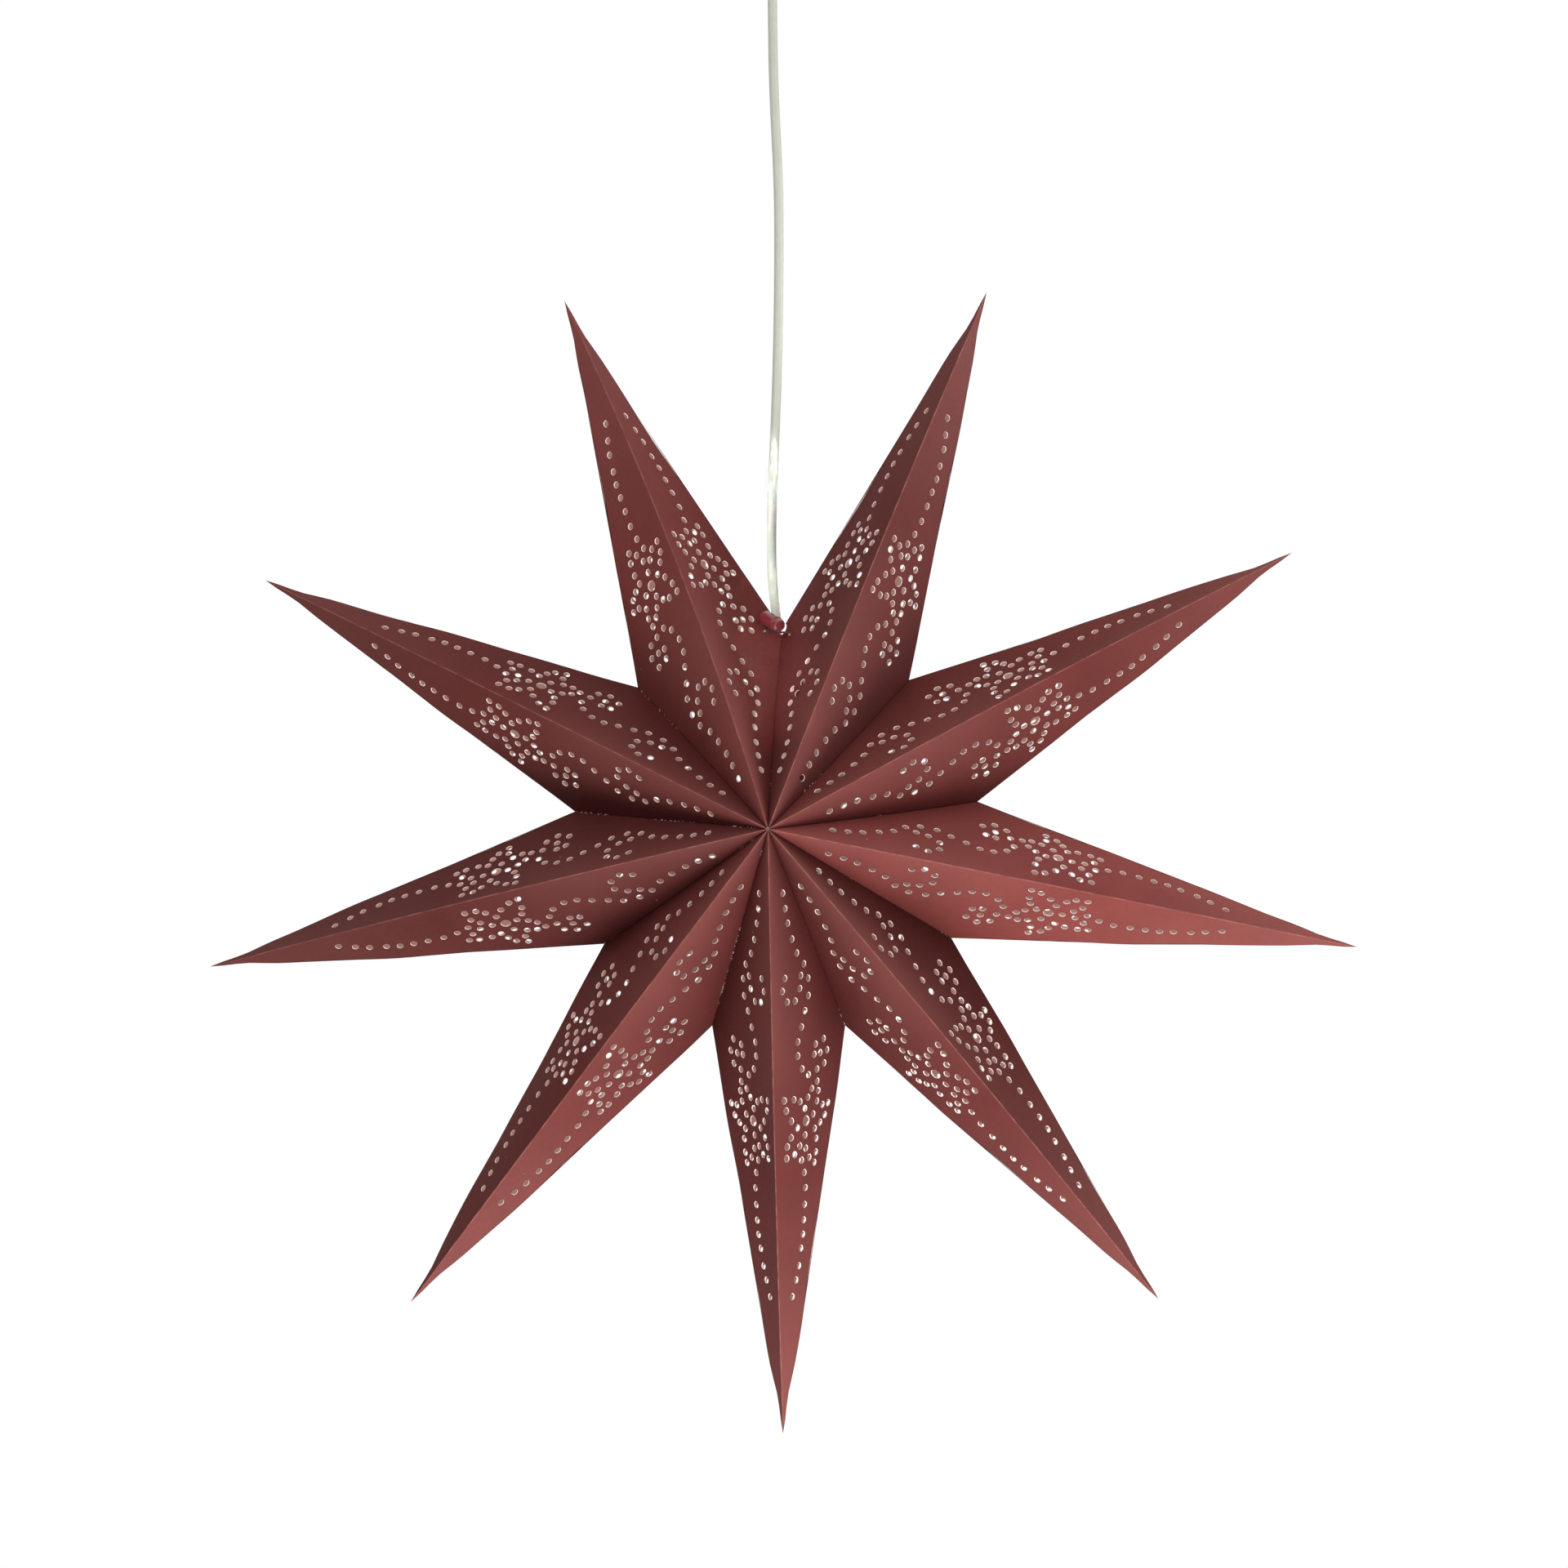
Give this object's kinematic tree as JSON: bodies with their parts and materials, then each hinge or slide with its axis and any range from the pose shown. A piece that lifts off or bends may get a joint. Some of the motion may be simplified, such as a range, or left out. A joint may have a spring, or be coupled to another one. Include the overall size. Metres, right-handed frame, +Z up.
{
  "type": "paper star lantern",
  "caption": "Pointed star lantern of folded, punched burgundy paper, hung on an off-white electric cord with a small sprung cord lock at its neck, a lamp inside and a ceiling cup.",
  "frame": {"origin": "middle of the ceiling plate's top face, where it meets the ceiling", "axes": "+Z up along the hanging cord, +X to the right and -Y towards the viewer when the star's face is seen from the front"},
  "size_m": [0.6302, 0.139, 0.855],
  "materials": {
    "arm_paper": "burgundy card, matt with a faint sheen, punched",
    "cord_sheath": "off-white cable sheath, satin",
    "lead_sheath": "thin insulated wires, satin",
    "tie_string": "thin dark cord, matt",
    "lock_body": "dark red-brown plastic, glossy",
    "lock_cap": "brown-red plastic, glossy",
    "steel": "plated steel, satin",
    "brass": "pressed brass, satin",
    "white_plastic": "white plastic, satin",
    "white_rubber": "soft white grommet, matt",
    "ceramic": "unglazed ceramic, matt",
    "opal_glass": "opal glass, satin"
  },
  "bodies": {
    "root": {"ceiling_plate": "steel", "cord_grip_base": "white_plastic", "cord_grip_bar": "white_plastic", "grip_screws": "steel", "terminal_block": "white_plastic", "terminal_screws": "steel", "cord_leads": "lead_sheath", "power_cord": "cord_sheath", "holder_gland": "white_plastic", "holder_cap": "white_plastic", "holder_shell": "white_plastic", "holder_insert": "ceramic", "contact_screws": "steel", "thread_sleeve": "brass", "centre_contact": "brass", "side_contact": "brass", "bulb_cap": "steel", "bulb_tip": "brass", "bulb_collar": "white_plastic", "bulb_globe": "opal_glass"},
    "cup": {"ceiling_cup": "white_plastic", "cup_grommet": "white_rubber"},
    "star_base": {"arm_5": "arm_paper"},
    "star_4": {"arm_4": "arm_paper"},
    "star_3": {"arm_3": "arm_paper"},
    "star_2": {"arm_2": "arm_paper"},
    "star_1": {"arm_1": "arm_paper"},
    "star_6": {"arm_6": "arm_paper"},
    "star_7": {"arm_7": "arm_paper"},
    "star_8": {"arm_8": "arm_paper"},
    "star_9": {"arm_9": "arm_paper", "closing_flap_front": "arm_paper", "closing_flap_back": "arm_paper", "drawcord": "tie_string", "lock_barrel": "lock_body", "lock_spring": "steel"},
    "button": {"lock_button": "lock_cap"}
  },
  "joints": [
    {"name": "cup_slide", "type": "slide", "parent": "root", "child": "cup", "axis": [0, 0, 1], "range_m": [-0.027, 0]},
    {"name": "shade_turn", "type": "hinge", "parent": "root", "child": "star_base", "pos_m": [0, 0, -0.535], "axis": [0, 0, 1], "continuous": true},
    {"name": "fold_4", "type": "hinge", "parent": "star_base", "child": "star_4", "pos_m": [0, 0, -0.535], "axis": [0, 1, 0], "range_deg": [0, 38.6], "deforming": ["arm_4", "arm_5"]},
    {"name": "fold_3", "type": "hinge", "parent": "star_4", "child": "star_3", "pos_m": [0, 0, -0.535], "axis": [0, 1, 0], "range_deg": [0, 38.6], "deforming": ["arm_3"]},
    {"name": "fold_2", "type": "hinge", "parent": "star_3", "child": "star_2", "pos_m": [0, 0, -0.535], "axis": [0, 1, 0], "range_deg": [0, 38.6], "deforming": ["arm_2"]},
    {"name": "fold_1", "type": "hinge", "parent": "star_2", "child": "star_1", "pos_m": [0, 0, -0.535], "axis": [0, 1, 0], "range_deg": [0, 38.6], "deforming": ["arm_1"]},
    {"name": "fold_6", "type": "hinge", "parent": "star_base", "child": "star_6", "pos_m": [0, 0, -0.535], "axis": [0, 1, 0], "range_deg": [-38.6, 0], "deforming": ["arm_6"]},
    {"name": "fold_7", "type": "hinge", "parent": "star_6", "child": "star_7", "pos_m": [0, 0, -0.535], "axis": [0, 1, 0], "range_deg": [-38.6, 0], "deforming": ["arm_7"]},
    {"name": "fold_8", "type": "hinge", "parent": "star_7", "child": "star_8", "pos_m": [0, 0, -0.535], "axis": [0, 1, 0], "range_deg": [-38.6, 0], "deforming": ["arm_8"]},
    {"name": "fold_9", "type": "hinge", "parent": "star_8", "child": "star_9", "pos_m": [0, 0, -0.535], "axis": [0, 1, 0], "range_deg": [-38.6, 0], "deforming": ["arm_9", "closing_flap_front", "closing_flap_back", "drawcord"]},
    {"name": "button_press", "type": "slide", "parent": "star_9", "child": "button", "axis": [-0.4997, 0.7889, 0.3577], "range_m": [0, 0.0025], "stiffness_N_per_m": 400, "deforming": ["lock_spring"]}
  ],
  "couplings": [
    {"joint": "fold_3", "follows": "fold_4", "ratio": 1},
    {"joint": "fold_2", "follows": "fold_4", "ratio": 1},
    {"joint": "fold_1", "follows": "fold_4", "ratio": 1},
    {"joint": "fold_6", "follows": "fold_4", "ratio": -1},
    {"joint": "fold_7", "follows": "fold_4", "ratio": -1},
    {"joint": "fold_8", "follows": "fold_4", "ratio": -1},
    {"joint": "fold_9", "follows": "fold_4", "ratio": -1}
  ]
}
